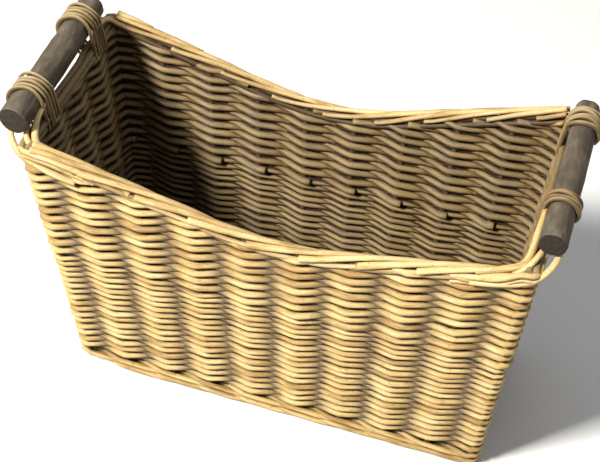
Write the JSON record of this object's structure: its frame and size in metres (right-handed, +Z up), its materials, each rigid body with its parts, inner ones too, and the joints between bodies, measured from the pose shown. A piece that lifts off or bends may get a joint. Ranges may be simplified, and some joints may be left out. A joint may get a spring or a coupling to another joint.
{
  "type": "wicker log basket",
  "caption": "Tall rectangular woven willow basket that flares upward, with long sides dipping in the middle and a bark branch handle lashed above each end rim, for holding firewood.",
  "frame": {"origin": "middle of the underside of the base, on the floor", "axes": "+X along the basket's length to the right-hand branch, +Y across it to the back, +Z up"},
  "size_m": [0.6126, 0.2412, 0.4298],
  "materials": {
    "willow_weave": "peeled buff willow rods, semi-matt, golden straw with brown streaks",
    "willow_border": "peeled buff willow rods, semi-matt, pale straw",
    "willow_lashing": "thin split willow rods, semi-matt",
    "willow_stake": "thicker willow rods, matt brown",
    "willow_base": "woven willow rods, matt",
    "bark_branch": "branch with grey-brown bark, matt, sawn ends"
  },
  "bodies": {
    "root": {"base_mat": "willow_base", "base_sticks": "willow_stake", "base_edge_sticks": "willow_stake", "foot_wale_front": "willow_weave", "foot_wale_back": "willow_weave", "foot_wale_left": "willow_weave", "foot_wale_right": "willow_weave", "siding_lower_front": "willow_weave", "siding_lower_back": "willow_weave", "siding_lower_left": "willow_weave", "siding_lower_right": "willow_weave", "siding_upper_front": "willow_weave", "siding_upper_back": "willow_weave", "siding_upper_left": "willow_weave", "siding_upper_right": "willow_weave", "packing_front_left": "willow_weave", "packing_front_right": "willow_weave", "packing_back_left": "willow_weave", "packing_back_right": "willow_weave", "packing_end_left": "willow_weave", "packing_end_right": "willow_weave", "stakes_front": "willow_stake", "stakes_back": "willow_stake", "stakes_left": "willow_stake", "stakes_right": "willow_stake", "corner_post_front_left": "willow_stake", "corner_post_front_right": "willow_stake", "corner_post_back_left": "willow_stake", "corner_post_back_right": "willow_stake", "border_front": "willow_border", "border_back": "willow_border", "border_left": "willow_border", "border_right": "willow_border", "corner_risers_front_left": "willow_border", "corner_risers_front_right": "willow_border", "corner_risers_back_left": "willow_border", "corner_risers_back_right": "willow_border", "handle_pole_left": "bark_branch", "handle_pole_right": "bark_branch", "lashing_left_front": "willow_lashing", "lashing_left_back": "willow_lashing", "lashing_right_front": "willow_lashing", "lashing_right_back": "willow_lashing"}
  },
  "joints": []
}
